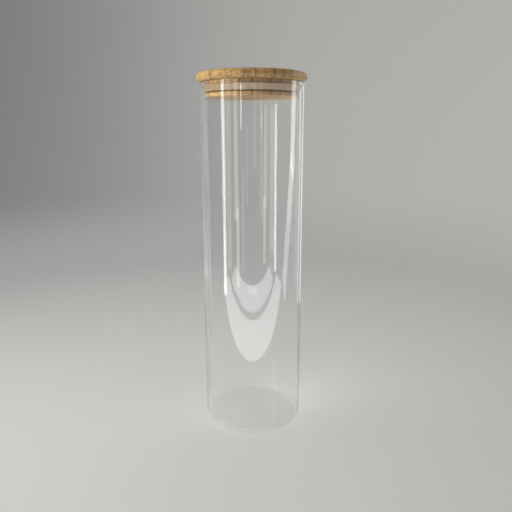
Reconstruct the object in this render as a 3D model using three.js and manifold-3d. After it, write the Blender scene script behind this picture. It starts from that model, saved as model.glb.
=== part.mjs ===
// Tall round glass storage jar with a push-fit lid of laminated bamboo and a silicone seal.
// Millimetres, +Z up. The origin is the centre of the base, on the surface the jar stands on.
// The lid is turned from a board of bamboo strips glued edge to edge, which run along Y.

import * as THREE from 'three';
import { mergeVertices } from 'three/addons/utils/BufferGeometryUtils.js';
import Module from 'manifold-3d';

// Driving dimensions

const GLASS_RADIUS = 45;
const GLASS_WALL = 2;
const GLASS_FLOOR = 3;
const RIM_HEIGHT = 308.5;
const GLASS_FOOT_ROUNDING = 2.5;
const GLASS_FLOOR_ROUNDING = 2;

const DISC_RADIUS = 47.5;
const DISC_THICKNESS = 7.4;
const DISC_TOP_ROUNDING = 3.9;
const DISC_LOWER_ROUNDING = 3.3;

const PLUG_RADIUS = 39.9;
const NECK_HEIGHT = 3.2;
const GROOVE_HEIGHT = 6.6;
const GROOVE_DEPTH = 3.4;
const FLANGE_HEIGHT = 3.1;
const FLANGE_ROUNDING = 1;

const SEAL_HEIGHT = 5.1;
const SEAL_TOP_RADIUS = 42.8;
const SEAL_FOOT_RADIUS = 40.7;
const SEAL_ROUNDING = 0.5;

const STRIP_PITCH = 8;
const STRIP_COUNT = 12;
const GLUE_LINE = 0.3;

const CLEARANCE = 0.3;

const ROUND_SIDES = 64;
const QUARTER_STEPS = 4;

// Heights worked out from the driving dimensions

const LID_SEAT = RIM_HEIGHT + CLEARANCE;
const PLUG_HEIGHT = NECK_HEIGHT + GROOVE_HEIGHT + FLANGE_HEIGHT;
const BORE_RADIUS = GLASS_RADIUS - GLASS_WALL;
const GROOVE_RADIUS = PLUG_RADIUS - GROOVE_DEPTH;

const wasm = await Module();
wasm.setup();

const clearGlass = new THREE.MeshStandardMaterial({
  color: 0xe9efee,
  roughness: 0.04,
  metalness: 0,
  transparent: true,
  opacity: 0.3,
});

const softSilicone = new THREE.MeshStandardMaterial({
  color: 0xcbbba6,
  roughness: 0.45,
  metalness: 0,
});

// Neighbouring strips come from different canes, so their tone differs a little.
function bambooMaterial(index) {
  const tones = [0xc2904f, 0xb98746, 0xcb9c5c];
  return new THREE.MeshStandardMaterial({
    color: tones[index % tones.length],
    roughness: 0.5,
    metalness: 0,
  });
}

// Points of an arc from one angle to another, in degrees, both ends included.
function arc(centreRadius, centreHeight, rounding, from, to, steps = QUARTER_STEPS) {
  const points = [];
  for (let step = 0; step <= steps; step += 1) {
    const angle = THREE.MathUtils.degToRad(from + ((to - from) * step) / steps);
    const radius = centreRadius + rounding * Math.cos(angle);
    const height = centreHeight + rounding * Math.sin(angle);
    points.push(new THREE.Vector2(radius, height));
  }
  return points;
}

function point(radius, height) {
  return new THREE.Vector2(radius, height);
}

// A body turned about Z from an outline of (radius, height) points.
function turned(outline) {
  const geometry = new THREE.LatheGeometry(outline, ROUND_SIDES);
  geometry.rotateX(Math.PI / 2);
  return geometry;
}

function solidFrom(geometry) {
  const bare = geometry.clone();
  bare.deleteAttribute('normal');
  bare.deleteAttribute('uv');
  const merged = mergeVertices(bare);
  const vertProperties = new Float32Array(merged.attributes.position.array);
  const triVerts = new Uint32Array(merged.index.array);
  return new wasm.Manifold(new wasm.Mesh({ numProp: 3, vertProperties, triVerts }));
}

function geometryFrom(solid) {
  const mesh = solid.getMesh();
  const geometry = new THREE.BufferGeometry();
  geometry.setAttribute('position', new THREE.BufferAttribute(mesh.vertProperties, 3));
  geometry.setIndex(new THREE.BufferAttribute(mesh.triVerts, 1));
  geometry.computeVertexNormals();
  return geometry;
}

function named(name, geometry, material) {
  const mesh = new THREE.Mesh(geometry, material);
  mesh.name = name;
  return mesh;
}

// A straight tube with a flat base, a rounded foot and a fire-polished rim.
function glassJar() {
  const footCentre = GLASS_RADIUS - GLASS_FOOT_ROUNDING;
  const floorCentre = BORE_RADIUS - GLASS_FLOOR_ROUNDING;
  const floorArcHeight = GLASS_FLOOR + GLASS_FLOOR_ROUNDING;
  const rimRounding = GLASS_WALL / 2;
  const outline = [
    point(0, 0),
    ...arc(footCentre, GLASS_FOOT_ROUNDING, GLASS_FOOT_ROUNDING, -90, 0),
    ...arc(BORE_RADIUS + rimRounding, RIM_HEIGHT - rimRounding, rimRounding, 0, 180),
    ...arc(floorCentre, floorArcHeight, GLASS_FLOOR_ROUNDING, 0, -90),
    point(0, GLASS_FLOOR),
  ];
  return named('glass_jar', turned(outline), clearGlass);
}

// The whole lid as one turned body, before it is parted into strips: a disc with a rounded
// edge, and under it a plug with a groove for the seal. Its height 0 is the disc's underside.
function lidBlank() {
  const topCentre = DISC_RADIUS - DISC_TOP_ROUNDING;
  const lowerCentre = DISC_RADIUS - DISC_LOWER_ROUNDING;
  const grooveTop = -NECK_HEIGHT;
  const grooveFoot = grooveTop - GROOVE_HEIGHT;
  const flangeCentre = PLUG_RADIUS - FLANGE_ROUNDING;
  const flangeArcHeight = FLANGE_ROUNDING - PLUG_HEIGHT;
  const outline = [
    point(0, -PLUG_HEIGHT),
    ...arc(flangeCentre, flangeArcHeight, FLANGE_ROUNDING, -90, 0, 2),
    point(PLUG_RADIUS, grooveFoot),
    point(GROOVE_RADIUS, grooveFoot),
    point(GROOVE_RADIUS, grooveTop),
    point(PLUG_RADIUS, grooveTop),
    point(PLUG_RADIUS, 0),
    ...arc(lowerCentre, DISC_LOWER_ROUNDING, DISC_LOWER_ROUNDING, -90, 0),
    ...arc(topCentre, DISC_THICKNESS - DISC_TOP_ROUNDING, DISC_TOP_ROUNDING, 0, 90),
    point(0, DISC_THICKNESS),
  ];
  return solidFrom(turned(outline));
}

// One strip of the blank. The board is a little wider than the disc, so the outermost strips
// take in the disc's edge.
function bambooStrip(index, blank) {
  const centre = (index - (STRIP_COUNT - 1) / 2) * STRIP_PITCH;
  const reach = 3 * DISC_RADIUS;
  const slab = new THREE.BoxGeometry(STRIP_PITCH - GLUE_LINE, reach, reach);
  slab.translate(centre, 0, 0);
  const geometry = geometryFrom(blank.intersect(solidFrom(slab)));
  const number = String(index + 1).padStart(2, '0');
  return named(`bamboo_strip_${number}`, geometry, bambooMaterial(index));
}

// A silicone ring whose outer face is a cone: its upper edge fills the bore, and its foot is
// narrower, so that it leads the plug into the jar.
function sealRing() {
  const innerRadius = GROOVE_RADIUS + CLEARANCE;
  const sealTop = -NECK_HEIGHT - CLEARANCE;
  const sealFoot = sealTop - SEAL_HEIGHT;
  const outline = [
    point(innerRadius, sealFoot),
    ...arc(SEAL_FOOT_RADIUS - SEAL_ROUNDING, sealFoot + SEAL_ROUNDING, SEAL_ROUNDING, -90, 0, 2),
    ...arc(SEAL_TOP_RADIUS - SEAL_ROUNDING, sealTop - SEAL_ROUNDING, SEAL_ROUNDING, 0, 90, 2),
    point(innerRadius, sealTop),
    point(innerRadius, sealFoot),
  ];
  return named('seal_ring', turned(outline), softSilicone);
}

// The strips share one turned blank, and the seal sits in its groove.
function lid() {
  const group = new THREE.Group();
  const blank = lidBlank();
  for (let index = 0; index < STRIP_COUNT; index += 1) {
    group.add(bambooStrip(index, blank));
  }
  group.add(sealRing());
  group.position.z = LID_SEAT;
  return group;
}

const container = new THREE.Group();
container.add(glassJar());
container.add(lid());

export default container;
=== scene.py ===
"""Looks of the tall glass storage jar with a push-fit bamboo lid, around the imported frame.

Metres, +Z up, in the row frame: the jar's axis is Z, and the lid's bamboo strips run along Y.
"""

import math

import bmesh
import bpy
from mathutils import Euler, Matrix, Vector


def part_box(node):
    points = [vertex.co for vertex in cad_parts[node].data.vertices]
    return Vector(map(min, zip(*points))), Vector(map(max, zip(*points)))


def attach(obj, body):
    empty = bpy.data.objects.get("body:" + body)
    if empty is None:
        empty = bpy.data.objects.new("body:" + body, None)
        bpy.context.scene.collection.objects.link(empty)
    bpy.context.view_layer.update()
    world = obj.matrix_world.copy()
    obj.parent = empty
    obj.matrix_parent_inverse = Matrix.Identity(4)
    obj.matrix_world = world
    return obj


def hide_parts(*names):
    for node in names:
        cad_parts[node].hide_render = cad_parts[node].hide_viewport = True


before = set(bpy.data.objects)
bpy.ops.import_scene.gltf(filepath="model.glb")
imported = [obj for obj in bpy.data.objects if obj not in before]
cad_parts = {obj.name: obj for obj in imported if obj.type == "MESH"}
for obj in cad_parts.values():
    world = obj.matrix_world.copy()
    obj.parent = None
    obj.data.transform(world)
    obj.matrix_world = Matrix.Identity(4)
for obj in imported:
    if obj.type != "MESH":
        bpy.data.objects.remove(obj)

MM = 0.001

# Shapes that the frame's boxes don't give, in millimetres
GLASS_WALL = 2.0
GLASS_FLOOR = 3.0
GLASS_FOOT_ROUNDING = 2.5
GLASS_FLOOR_ROUNDING = 2.0
RIPPLE_HEIGHT = 0.09
RIPPLE_PITCH = 9.0
DISC_TOP_ROUNDING = 3.9
DISC_LOWER_ROUNDING = 3.3
PLUG_RADIUS = 39.9
NECK_HEIGHT = 3.2
GROOVE_HEIGHT = 6.6
GROOVE_DEPTH = 3.4
FLANGE_ROUNDING = 1.0
GLUE_GAP = 0.02
SEAL_FOOT_RADIUS = 40.7
SEAL_LIP = 0.5
SEAL_CLEARANCE = 0.06

# Colours, linear
DARK_CANE = (0.42, 0.228, 0.062, 1)
PALE_CANE = (0.74, 0.485, 0.19, 1)
PATCH = (0.44, 0.24, 0.07, 1)
PALE_STREAK = (0.82, 0.58, 0.27, 1)
DARK_FIBRE = (0.18, 0.084, 0.024, 1)
PALE_FIBRE = (0.24, 0.115, 0.036, 1)
# Darker oil-soaked end grain, also used for the painted shade on the plug
SOAK_AND_SHADE = (0.16, 0.085, 0.03, 1)
KNOT = (0.17, 0.08, 0.025, 1)
GLUE = (0.085, 0.042, 0.014, 1)
SILICONE = (0.42, 0.30, 0.19, 1)
SILICONE_CLOUD = (0.50, 0.365, 0.24, 1)
SILICONE_STREAK = (0.26, 0.17, 0.095, 1)
GLASS_TINT = (0.985, 0.992, 0.990, 1)
GLASS_CLEAR = (0.994, 0.996, 0.995, 1)
DAYLIGHT = (0.92, 0.96, 1.0)

# Fineness of the turned meshes
GLASS_SIDES = 224
LID_SIDES = 288
STUDIO_SIDES = 96
ARC_STEPS = 12
RING_STEP = 8.0
ON_AXIS = 1e-6

# The camera, as the jar is seen: about half a metre away and from just below the lid's height
CAMERA_AZIMUTH = 156.6
CAMERA_DISTANCE = 0.4730
CAMERA_SIDESTEP = 0.0032
CAMERA_HEIGHT = 0.2686
CAMERA_PITCH = -13.41
CAMERA_ROLL = -0.15
CAMERA_LENS = 36.97
SENSOR_WIDTH = 36.0

# The studio: millimetres for the bowl, metres for the cards
FLOOR_LIFT = 0.05
FLOOR_RADIUS = 650.0
SWEEP = 500.0
WALL_HEIGHT = 1900.0
FLOOR_COLOUR = (0.80, 0.80, 0.79, 1)
# Painted shade: the floor paint is darker under the glass base
PAINTED_SHADE_UNDER_JAR = (0.69, 0.68, 0.665, 1)
# Painted light and shade on the wall: lighter towards -X, darker towards +X
PAINTED_SHADED_WALL = (0.56, 0.568, 0.58, 1)
PAINTED_LIT_WALL = (0.86, 0.855, 0.84, 1)
WALL_START = 120.0


# Meshes


def arc(centre, height, rounding, start, end, steps=ARC_STEPS):
    """Points of an arc in (radius, height), between two angles in degrees, both ends included."""
    points = []
    for step in range(steps + 1):
        angle = math.radians(start + (end - start) * step / steps)
        points.append((centre + rounding * math.cos(angle), height + rounding * math.sin(angle)))
    return points


def line(first, last, step=RING_STEP):
    """Points between two (radius, height) points, without the ends, about a step apart."""
    length = math.dist(first, last)
    count = max(int(length / step), 1)
    return [
        tuple(a + (b - a) * k / count for a, b in zip(first, last))
        for k in range(1, count)
    ]


def turned_bmesh(outline, sides, closed=True):
    """A bmesh turned about Z from (radius, height) points in millimetres, with one vertex for each
    point on the axis. A closed outline that stays off the axis makes a ring."""
    bm = bmesh.new()
    rings = []
    for radius, height in outline:
        if radius < ON_AXIS:
            rings.append([bm.verts.new((0, 0, height * MM))] * sides)
            continue
        ring = []
        for side in range(sides):
            angle = 2 * math.pi * side / sides
            spot = (radius * math.cos(angle) * MM, radius * math.sin(angle) * MM, height * MM)
            ring.append(bm.verts.new(spot))
        rings.append(ring)
    if closed and outline[0][0] > ON_AXIS:
        rings.append(rings[0])
    for low, high in zip(rings, rings[1:]):
        for side in range(sides):
            after = (side + 1) % sides
            corners = (low[side], low[after], high[after], high[side])
            bm.faces.new(dict.fromkeys(corners))
    if closed:
        bmesh.ops.recalc_face_normals(bm, faces=bm.faces)
    return bm


def finished_object(name, bm, material, sharp_angle=35.0):
    """Turns a bmesh into a smooth-shaded object whose edges over sharp_angle stay crisp."""
    mesh = bpy.data.meshes.new(name)
    bm.to_mesh(mesh)
    bm.free()
    mesh.shade_smooth()
    mesh.set_sharp_from_angle(angle=math.radians(sharp_angle))
    mesh.materials.append(material)
    piece = bpy.data.objects.new(name, mesh)
    bpy.context.scene.collection.objects.link(piece)
    return piece


# Node helpers


def new_material(name):
    """A material with its Principled shader, as (material, nodes, links, shader)."""
    material = bpy.data.materials.new(name)
    material.use_nodes = True
    nodes = material.node_tree.nodes
    return material, nodes, material.node_tree.links, nodes["Principled BSDF"]


class Maker:
    """Short ways to add nodes: an argument is a number, a tuple or another node's output."""

    def __init__(self, nodes, links):
        self.nodes = nodes
        self.links = links

    def feed(self, socket, value):
        if isinstance(value, bpy.types.NodeSocket):
            self.links.new(value, socket)
        else:
            socket.default_value = value

    def math(self, operation, *values):
        node = self.nodes.new("ShaderNodeMath")
        node.operation = operation
        for socket, value in zip(node.inputs, values):
            self.feed(socket, value)
        return node.outputs[0]

    def vector(self, operation, first, second):
        node = self.nodes.new("ShaderNodeVectorMath")
        node.operation = operation
        self.feed(node.inputs[0], first)
        self.feed(node.inputs[3 if operation == "SCALE" else 1], second)
        return node.outputs[0]

    def split(self, value):
        node = self.nodes.new("ShaderNodeSeparateXYZ")
        self.feed(node.inputs[0], value)
        return node.outputs

    def join(self, x, y, z):
        node = self.nodes.new("ShaderNodeCombineXYZ")
        for socket, value in zip(node.inputs, (x, y, z)):
            self.feed(socket, value)
        return node.outputs[0]

    def noise(self, place, scale, detail=2.0):
        node = self.nodes.new("ShaderNodeTexNoise")
        self.feed(node.inputs["Vector"], place)
        node.inputs["Scale"].default_value = scale
        node.inputs["Detail"].default_value = detail
        return node.outputs["Fac"]

    def chance(self, seed):
        """One steady value between 0 and 1 for each value of seed."""
        node = self.nodes.new("ShaderNodeTexWhiteNoise")
        node.noise_dimensions = "1D"
        self.feed(node.inputs["W"], seed)
        return node.outputs["Value"]

    def step(self, value, low, high, first=0.0, last=1.0):
        """Goes smoothly from first to last as value goes from low to high."""
        node = self.nodes.new("ShaderNodeMapRange")
        node.interpolation_type = "SMOOTHSTEP"
        self.feed(node.inputs["Value"], value)
        self.feed(node.inputs["From Min"], low)
        self.feed(node.inputs["From Max"], high)
        self.feed(node.inputs["To Min"], first)
        self.feed(node.inputs["To Max"], last)
        return node.outputs["Result"]

    def mix(self, share, first, last):
        """Mixes two colours."""
        node = self.nodes.new("ShaderNodeMix")
        node.data_type = "RGBA"
        self.feed(node.inputs[0], share)
        self.feed(node.inputs[6], first)
        self.feed(node.inputs[7], last)
        return node.outputs[2]

    def bump(self, height, distance, strength=1.0):
        node = self.nodes.new("ShaderNodeBump")
        node.inputs["Strength"].default_value = strength
        node.inputs["Distance"].default_value = distance
        self.feed(node.inputs["Height"], height)
        return node.outputs["Normal"]

    def place_mm(self):
        """The point on the piece, in millimetres of the row frame at rest."""
        node = self.nodes.new("ShaderNodeTexCoord")
        return self.vector("SCALE", node.outputs["Object"], 1 / MM)

    def own_normal(self):
        node = self.nodes.new("ShaderNodeTexCoord")
        return node.outputs["Normal"]


# Materials


def glass_material():
    """Clear drawn glass: faint long draw lines, and a hardly visible cool tint in patches."""
    material, nodes, links, shader = new_material("clear_glass")
    make = Maker(nodes, links)
    place = make.place_mm()
    patches = make.noise(place, 0.02)
    tint = make.mix(patches, GLASS_TINT, GLASS_CLEAR)
    links.new(tint, shader.inputs["Base Color"])
    draw_lines = make.noise(make.vector("MULTIPLY", place, (0.16, 0.16, 0.006)), 1.0)
    links.new(make.bump(draw_lines, 0.00006), shader.inputs["Normal"])
    shader.inputs["Roughness"].default_value = 0.0
    shader.inputs["IOR"].default_value = 1.473
    shader.inputs["Transmission Weight"].default_value = 1.0
    return material


def bamboo_material(pitch):
    """Laminated bamboo cut from a board of strips: pitch is a strip's width in millimetres.
    The fibre bundles run along Y, so they are dots on end grain and streaks along the strips.
    End grain is a shade darker than the rest, and the plug below the disc is darkened with painted
    shade."""
    material, nodes, links, shader = new_material("laminated_bamboo")
    make = Maker(nodes, links)
    x, y, z = make.split(make.place_mm())
    along = make.math("DIVIDE", x, pitch)
    strip = make.math("FLOOR", along)
    across = make.math("FRACT", along)
    wave = make.math("COSINE", make.math("MULTIPLY", strip, 0.6))
    own_tone = make.math("MULTIPLY", make.chance(make.math("ADD", strip, 31.5)), 0.3)
    tone = make.math("ADD", own_tone, make.step(wave, -1.0, 1.0, 0.72, 0.0))
    turned_over = make.math("GREATER_THAN", make.chance(make.math("ADD", strip, 77.5)), 0.5)
    skin_side = make.math("ABSOLUTE", make.math("SUBTRACT", across, turned_over))

    shift = make.math("MULTIPLY", make.chance(make.math("ADD", strip, 12.5)), 90.0)
    own_y = make.math("ADD", y, shift)
    sway = make.noise(make.join(make.math("MULTIPLY", strip, 7.0), own_y, z), 0.035)
    swayed_x = make.math("ADD", x, make.math("MULTIPLY", make.math("SUBTRACT", sway, 0.5), 2.6))
    swayed_z = make.math("ADD", z, make.math("MULTIPLY", make.math("SUBTRACT", sway, 0.5), 3.4))

    bundles = nodes.new("ShaderNodeTexVoronoi")
    bundles.voronoi_dimensions = "2D"
    bundles.inputs["Randomness"].default_value = 0.8
    own_z = make.math("ADD", swayed_z, make.math("MULTIPLY", strip, 5.3))
    links.new(make.join(swayed_x, own_z, 0.0), bundles.inputs["Vector"])
    bundles.inputs["Scale"].default_value = 0.66
    reach = make.step(skin_side, 0.0, 1.0, 0.36, 0.54)
    inner = make.math("MULTIPLY", reach, 0.45)
    dots = make.step(bundles.outputs["Distance"], inner, reach, 1.0, 0.0)

    fine = make.noise(make.join(swayed_x, make.math("MULTIPLY", own_y, 0.03), swayed_z), 4.5, 3.0)
    broad = make.noise(make.join(swayed_x, make.math("MULTIPLY", own_y, 0.06), swayed_z), 0.35)

    pale = make.mix(tone, DARK_CANE, PALE_CANE)
    cane = make.mix(make.step(broad, 0.3, 0.7, 0.0, 0.5), pale, PATCH)
    streaked = make.mix(make.step(fine, 0.35, 0.75, 0.0, 0.35), cane, PALE_STREAK)
    fibre = make.mix(tone, DARK_FIBRE, PALE_FIBRE)
    facing = make.math("ABSOLUTE", make.split(make.own_normal())[1])
    end_strength = make.step(facing, 0.2, 0.55, 0.3, 1.0)
    strength = make.math("MULTIPLY", make.step(tone, 0.1, 0.8, 0.6, 0.95), end_strength)
    grained = make.mix(make.math("MULTIPLY", dots, strength), streaked, fibre)

    dense = make.step(skin_side, 0.70, 1.0, 0.0, make.step(tone, 0.1, 0.8, 0.9, 0.1))
    layered = make.mix(dense, grained, fibre)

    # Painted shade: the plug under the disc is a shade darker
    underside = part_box(STRIPS[-1])[0].z / MM
    plug = make.step(z, underside - 0.5, underside, 0.20, 0.0)
    end_grain = make.step(facing, 0.35, 0.95, 0.0, 0.22)
    # End grain is darker with soaked-in oil; the plug's darkening is painted shade
    soaked_and_shaded = make.mix(make.math("ADD", end_grain, plug), layered, SOAK_AND_SHADE)

    knot_y = make.math("SUBTRACT", make.chance(make.math("ADD", strip, 5.5)), 0.5)
    knot_far = make.math("SUBTRACT", y, make.math("MULTIPLY", knot_y, 150.0))
    wander = make.math("MULTIPLY", make.math("SUBTRACT", broad, 0.5), 6.0)
    knot_off = make.math("ABSOLUTE", make.math("ADD", knot_far, wander))
    knot = make.step(knot_off, 0.3, 2.0, 0.55, 0.0)
    knotted = make.mix(knot, soaked_and_shaded, KNOT)

    off_joint = make.math("MULTIPLY", make.math("PINGPONG", along, 0.5), pitch)
    glue = make.step(off_joint, 0.08, 0.50, make.step(tone, 0.15, 0.75, 0.95, 0.12), 0.0)
    glued = make.mix(glue, knotted, GLUE)
    links.new(glued, shader.inputs["Base Color"])

    links.new(make.step(dots, 0.0, 1.0, 0.44, 0.56), shader.inputs["Roughness"])
    relief = make.math("SUBTRACT", fine, make.math("MULTIPLY", dots, 0.8))
    lined = make.math("SUBTRACT", relief, make.math("MULTIPLY", glue, 1.2))
    links.new(make.bump(lined, 0.00006, 0.8), shader.inputs["Normal"])
    shader.inputs["Specular IOR Level"].default_value = 0.35
    shader.inputs["Coat Weight"].default_value = 0.06
    shader.inputs["Coat Roughness"].default_value = 0.35
    return material


def silicone_material():
    """Milky translucent silicone with a satin skin and faint cloudiness."""
    material, nodes, links, shader = new_material("milky_silicone")
    make = Maker(nodes, links)
    place = make.place_mm()
    clouds = make.noise(place, 0.18, 3.0)
    colour = make.mix(clouds, SILICONE, SILICONE_CLOUD)
    streaks = make.noise(make.vector("MULTIPLY", place, (0.45, 0.45, 0.01)), 1.0, 3.0)
    streaked = make.mix(make.step(streaks, 0.35, 0.65, 0.0, 0.35), colour, SILICONE_STREAK)
    links.new(streaked, shader.inputs["Base Color"])
    grain = make.noise(place, 3.0, 2.0)
    links.new(make.step(grain, 0.3, 0.7, 0.36, 0.48), shader.inputs["Roughness"])
    links.new(make.bump(grain, 0.00002, 0.5), shader.inputs["Normal"])
    shader.inputs["IOR"].default_value = 1.41
    shader.inputs["Subsurface Weight"].default_value = 0.35
    shader.inputs["Subsurface Radius"].default_value = (1.0, 0.8, 0.7)
    shader.inputs["Subsurface Scale"].default_value = 0.002
    shader.inputs["Transmission Weight"].default_value = 0.25
    return material


def studio_material():
    """Matt paint: pale on the floor, and on the wall painted light and shade, lighter towards -X and
    darker and cooler towards +X.
    Under the glass base the paint is darker: painted shade where the glass rests."""
    material, nodes, links, shader = new_material("studio_paint")
    make = Maker(nodes, links)
    across, deep, height = make.split(make.place_mm())
    # Painted light and shade: the wall is lighter towards -X and darker towards +X
    wall = make.mix(make.step(across, -620.0, 300.0), PAINTED_LIT_WALL, PAINTED_SHADED_WALL)
    squares = [make.math("POWER", offset, 2.0) for offset in (across, deep)]
    radius = make.math("SQRT", make.math("ADD", *squares))
    # Painted shade: the floor is darker under the glass base
    floor = make.mix(make.step(radius, 40.0, 45.0), PAINTED_SHADE_UNDER_JAR, FLOOR_COLOUR)
    colour = make.mix(make.step(height, 0.0, WALL_START), floor, wall)
    links.new(colour, shader.inputs["Base Color"])
    shader.inputs["Roughness"].default_value = 1.0
    shader.inputs["Specular IOR Level"].default_value = 0.0
    return material


# Pieces


def glass_jar(material):
    """A straight tube with a flat base, a rounded foot and a fire-polished rim.
    The base was pressed flat while hot, which leaves faint rings in its inner face."""
    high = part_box("glass_jar")[1]
    radius = high.x / MM
    rim = high.z / MM
    bore = radius - GLASS_WALL
    half_wall = GLASS_WALL / 2
    foot_centre = radius - GLASS_FOOT_ROUNDING
    floor_centre = bore - GLASS_FLOOR_ROUNDING
    floor_arc = GLASS_FLOOR + GLASS_FLOOR_ROUNDING
    base_edge = (foot_centre, 0.0)
    outer_low = (radius, GLASS_FOOT_ROUNDING)
    outer_high = (radius, rim - half_wall)
    inner_high = (bore, rim - half_wall)
    inner_low = (bore, floor_arc)
    floor_edge = (floor_centre, GLASS_FLOOR)
    floor = [
        (r, z + RIPPLE_HEIGHT * math.sin(2 * math.pi * r / RIPPLE_PITCH) * (1 - r / floor_centre))
        for r, z in line(floor_edge, (0.0, GLASS_FLOOR), 1.5)
    ]
    outline = [
        (0.0, 0.0),
        *line((0.0, 0.0), base_edge),
        *arc(foot_centre, GLASS_FOOT_ROUNDING, GLASS_FOOT_ROUNDING, -90, 0),
        *line(outer_low, outer_high),
        *arc(bore + half_wall, rim - half_wall, half_wall, 0, 180),
        *line(inner_high, inner_low),
        *arc(floor_centre, floor_arc, GLASS_FLOOR_ROUNDING, 0, -90),
        *floor,
        (0.0, GLASS_FLOOR),
    ]
    piece = finished_object("jar_glass", turned_bmesh(outline, GLASS_SIDES), material, 60.0)
    piece.visible_shadow = False
    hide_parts("glass_jar")
    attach(piece, "jar")


def lid_outline():
    """The lid's (radius, height) outline: a disc with a rounded edge over a grooved plug."""
    disc_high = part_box(STRIPS[-1])[1]
    middle_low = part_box(STRIPS[len(STRIPS) // 2])[0]
    radius = disc_high.x / MM
    top = disc_high.z / MM
    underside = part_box(STRIPS[-1])[0].z / MM
    foot = middle_low.z / MM
    groove = PLUG_RADIUS - GROOVE_DEPTH
    groove_top = underside - NECK_HEIGHT
    groove_foot = groove_top - GROOVE_HEIGHT
    flange_centre = PLUG_RADIUS - FLANGE_ROUNDING
    lower_centre = radius - DISC_LOWER_ROUNDING
    top_centre = radius - DISC_TOP_ROUNDING
    return [
        (0.0, foot),
        *line((0.0, foot), (flange_centre, foot)),
        *arc(flange_centre, foot + FLANGE_ROUNDING, FLANGE_ROUNDING, -90, 0, 6),
        (PLUG_RADIUS, groove_foot - 0.25),
        (PLUG_RADIUS - 0.25, groove_foot),
        (groove, groove_foot),
        (groove, groove_top),
        (PLUG_RADIUS - 0.2, groove_top),
        (PLUG_RADIUS, groove_top + 0.2),
        (PLUG_RADIUS, underside),
        *line((PLUG_RADIUS, underside), (lower_centre, underside), 2.0),
        *arc(lower_centre, underside + DISC_LOWER_ROUNDING, DISC_LOWER_ROUNDING, -90, 0),
        *arc(top_centre, top - DISC_TOP_ROUNDING, DISC_TOP_ROUNDING, 0, 90),
        *line((top_centre, top), (0.0, top)),
        (0.0, top),
    ]


def part_at(bm, x, keep_above):
    """Cuts a closed bmesh by the plane at x, keeps one side and closes the cut."""
    everything = bm.verts[:] + bm.edges[:] + bm.faces[:]
    bmesh.ops.bisect_plane(
        bm,
        geom=everything,
        dist=1e-7,
        plane_co=(x, 0, 0),
        plane_no=(1, 0, 0),
        clear_inner=keep_above,
        clear_outer=not keep_above,
    )
    rim = [edge for edge in bm.edges if len(edge.link_faces) == 1]
    bmesh.ops.edgeloop_fill(bm, edges=rim)
    bmesh.ops.recalc_face_normals(bm, faces=bm.faces)


def lid_strips(material, pitch):
    """The lid's strips: one turned lid parted along the planes of its glue joints."""
    blank = turned_bmesh(lid_outline(), LID_SIDES)
    count = len(STRIPS)
    for index, node in enumerate(STRIPS):
        bm = blank.copy()
        low = (index - count / 2) * pitch
        if index > 0:
            part_at(bm, (low + GLUE_GAP / 2) * MM, True)
        if index < count - 1:
            part_at(bm, (low + pitch - GLUE_GAP / 2) * MM, False)
        piece = finished_object(f"lid_{node}", bm, material)
        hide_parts(node)
        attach(piece, "lid")
    blank.free()


def seal_ring(material):
    """The seal: a flared skirt with a soft lip that fills the bore."""
    low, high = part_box("seal_ring")
    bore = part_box("glass_jar")[1].x / MM - GLASS_WALL
    top = high.z / MM
    foot = low.z / MM
    lip_radius = bore - SEAL_CLEARANCE
    inner = PLUG_RADIUS - GROOVE_DEPTH + 0.1
    skirt = []
    steps = 14
    for step in range(1, steps):
        share = step / steps
        flare = share**1.25
        radius = SEAL_FOOT_RADIUS + (lip_radius - SEAL_FOOT_RADIUS) * flare
        skirt.append((radius, foot + SEAL_LIP + (top - foot - 2 * SEAL_LIP) * share))
    outline = [
        (inner, foot),
        *line((inner, foot), (SEAL_FOOT_RADIUS - SEAL_LIP, foot), 1.0),
        *arc(SEAL_FOOT_RADIUS - SEAL_LIP, foot + SEAL_LIP, SEAL_LIP, -90, 0, 6),
        *skirt,
        *arc(lip_radius - SEAL_LIP, top - SEAL_LIP, SEAL_LIP, 0, 90, 6),
        *line((lip_radius - SEAL_LIP, top), (inner, top), 1.0),
        (inner, top),
    ]
    piece = finished_object("silicone_seal", turned_bmesh(outline, GLASS_SIDES), material, 50.0)
    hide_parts("seal_ring")
    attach(piece, "seal")


# Studio


def studio_bowl():
    """A round studio: a pale floor that sweeps up into the wall on every side."""
    paint = studio_material()
    floor_outline = [(0.0, FLOOR_LIFT), (250.0, FLOOR_LIFT), (FLOOR_RADIUS, FLOOR_LIFT)]
    floor_sheet = turned_bmesh(floor_outline, STUDIO_SIDES, closed=False)
    floor = finished_object("studio_floor", floor_sheet, paint)
    wall_outline = arc(FLOOR_RADIUS, SWEEP + FLOOR_LIFT, SWEEP, -90, 0, 24)
    wall_outline.append((FLOOR_RADIUS + SWEEP, WALL_HEIGHT))
    wall_sheet = turned_bmesh(wall_outline, STUDIO_SIDES, closed=False)
    wall = finished_object("studio_wall", wall_sheet, paint)


def area_light(name, size, colour):
    """A flat light that the camera doesn't see."""
    light = bpy.data.lights.new(name, "AREA")
    light.shape = "RECTANGLE"
    light.size, light.size_y = size
    light.color = colour
    lamp = bpy.data.objects.new(name, light)
    bpy.context.scene.collection.objects.link(lamp)
    lamp.visible_camera = False
    return lamp


def stand(lamp, azimuth, distance, height):
    """Stands a lamp upright round the jar, facing it. The azimuth counts from the camera's."""
    turn = math.radians(CAMERA_AZIMUTH + azimuth)
    lamp.location = (distance * math.sin(turn), -distance * math.cos(turn), height)
    lamp.rotation_euler = Euler((math.radians(90), 0, turn))


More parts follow.
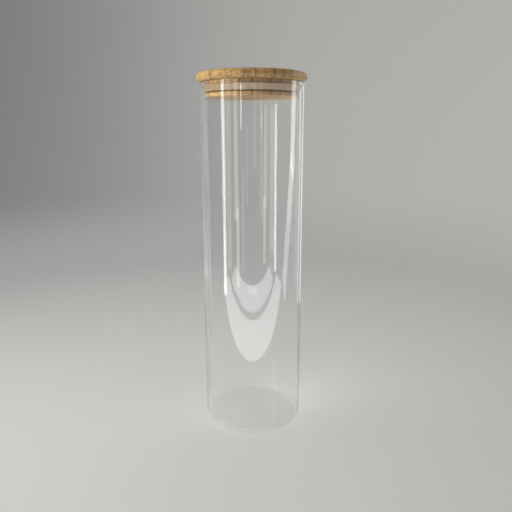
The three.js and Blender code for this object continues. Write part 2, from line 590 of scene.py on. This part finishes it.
def upright_card(name, azimuth, spread, distance, heights, glow, **extra):
    """A tall glowing card that is only seen mirrored in the glass. The spread is its width in
    degrees as seen from the jar, and glow is how bright its face is. An outer card is mirrored
    in the jar's outer face alone."""
    low, high = heights
    width = 2 * distance * math.tan(math.radians(spread / 2))
    card = area_light(name, (width, high - low), extra.get("colour", (1, 1, 1)))
    card.data.energy = glow * math.pi * width * (high - low)
    stand(card, azimuth, distance, (low + high) / 2)
    card.rotation_euler.rotate_axis("Z", math.radians(extra.get("lean", 0.0)))
    card.visible_diffuse = False
    card.visible_transmission = not extra.get("outer", False)


def floor_card(name, near, far, width, glow, colour=(1, 1, 1)):
    """A glowing card that lies in front of the jar and is only mirrored in its outer face."""
    card = area_light(name, (width, far - near), colour)
    card.data.energy = glow * math.pi * width * (far - near)
    stand(card, 0.0, (near + far) / 2, 0.001)
    card.rotation_euler.rotate_axis("X", math.radians(90))
    card.visible_diffuse = False
    card.visible_transmission = False


def soft_light(name, azimuth, distance, height, size, power, colour, tilt):
    """A large soft light that shades the pieces but isn't mirrored in the glass."""
    lamp = area_light(name, (size, size), colour)
    lamp.data.energy = power
    stand(lamp, azimuth, distance, height)
    lamp.rotation_euler.rotate_axis("X", math.radians(-tilt))
    lamp.data.spread = math.radians(120)
    lamp.visible_glossy = False
    lamp.visible_transmission = False


def window_cards():
    """The window on the left: a bright pane, its dimmer reveal, its frame and a slit of daylight."""
    beige = (1.0, 0.97, 0.88)
    yellow = (0.96, 0.97, 0.74)
    cream = (1.0, 0.93, 0.80)
    upright_card("window", -63.0, 6.5, 0.45, (0.0, 0.75), 7.0)
    upright_card("window_reveal", -52.0, 12.0, 0.62, (0.0, 0.60), 1.15, colour=beige)
    upright_card("window_frame", -34.0, 8.0, 0.62, (0.10, 0.60), 2.1, colour=yellow)
    upright_card("window_sill", -31.5, 5.5, 0.50, (0.0, 0.14), 2.6, colour=cream)
    upright_card("window_slit", -22.5, 1.6, 0.62, (0.27, 0.60), 6.0)


def far_window_cards():
    """A second window on the right, seen slanting, with the room beside it."""
    upright_card("far_window", 100.0, 13.0, 0.40, (0.20, 0.60), 4.6, lean=-12.0, outer=True)
    upright_card("far_window_foot", 84.0, 11.0, 0.40, (-0.01, 0.25), 4.0, lean=-38.0, outer=True)
    upright_card("far_window_haze", 101.0, 18.0, 0.42, (0.10, 0.60), 0.8, lean=-20.0, outer=True)
    upright_card("room_right", 119.0, 26.0, 0.50, (0.0, 0.60), 0.5, outer=True)
    upright_card("room_left", -126.0, 40.0, 0.50, (0.0, 0.60), 0.5, outer=True)
    upright_card("right_edge", 152.0, 10.0, 0.35, (0.0, 0.60), 0.8)
    upright_card("left_edge", -152.0, 10.0, 0.35, (0.0, 0.60), 0.25)


def room_cards():
    """Faint upright streaks in the middle, from whatever stands in front of the jar."""
    streaks = [
        (-19.0, 3.0, (0.0, 0.20), 2.2),
        (-11.0, 3.5, (0.13, 0.28), 2.2),
        (6.0, 4.0, (0.20, 0.45), 2.0),
        (19.0, 3.0, (0.10, 0.45), 2.4),
        (42.0, 8.0, (0.0, 0.30), 0.8),
    ]
    for number, (azimuth, spread, heights, glow) in enumerate(streaks):
        upright_card(f"room_{number}", azimuth, spread, 0.62, heights, glow, outer=True)


def studio_lights():
    """Cards for the highlights, and soft light from the left, the front and above."""
    window_cards()
    far_window_cards()
    room_cards()
    floor_card("near_glow", 0.198, 0.337, 0.95, 5.0)
    floor_card("far_glow", 0.371, 0.513, 0.80, 4.6)
    floor_card("bright_glow", 0.445, 0.505, 0.17, 4.0, DAYLIGHT)
    soft_light("key", -64.0, 0.85, 0.56, 0.5, 3.2, (1.0, 0.97, 0.92), 15.0)
    soft_light("fill", 60.0, 0.85, 0.60, 0.6, 0.06, (0.95, 0.97, 1.0), 15.0)
    soft_light("bounce", -12.0, 0.45, 0.09, 0.12, 0.12, (1.0, 0.97, 0.92), -35.0)
    overhead = area_light("overhead", (1.1, 1.1), (1, 1, 1))
    overhead.location = (0, 0, 1.6)
    overhead.data.energy = 3.3
    overhead.visible_transmission = False
    world = bpy.data.worlds.new("studio_world")
    world.use_nodes = True
    background = world.node_tree.nodes["Background"]
    background.inputs["Color"].default_value = (*DAYLIGHT, 1)
    background.inputs["Strength"].default_value = 0.22
    bpy.context.scene.world = world


def studio_camera():
    lens = bpy.data.cameras.new("camera")
    lens.lens = CAMERA_LENS
    lens.sensor_width = SENSOR_WIDTH
    lens.clip_start = 0.01
    camera = bpy.data.objects.new("camera", lens)
    bpy.context.scene.collection.objects.link(camera)
    turn = math.radians(CAMERA_AZIMUTH)
    place = Vector((CAMERA_SIDESTEP, -CAMERA_DISTANCE, CAMERA_HEIGHT))
    camera.location = Matrix.Rotation(turn, 3, "Z") @ place
    aim = Matrix.Rotation(turn, 3, "Z") @ Matrix.Rotation(math.radians(90 + CAMERA_PITCH), 3, "X")
    camera.rotation_euler = (aim @ Matrix.Rotation(math.radians(CAMERA_ROLL), 3, "Z")).to_euler()
    bpy.context.scene.camera = camera


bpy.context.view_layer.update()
STRIPS = sorted(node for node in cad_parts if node.startswith("bamboo_strip"))
STRIP_PITCH = round((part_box(STRIPS[-2])[0].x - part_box(STRIPS[-3])[0].x) / MM, 3)

studio_camera()
glass_jar(glass_material())
lid_strips(bamboo_material(STRIP_PITCH), STRIP_PITCH)
seal_ring(silicone_material())
studio_bowl()
studio_lights()
bpy.context.scene.view_settings.view_transform = "Standard"
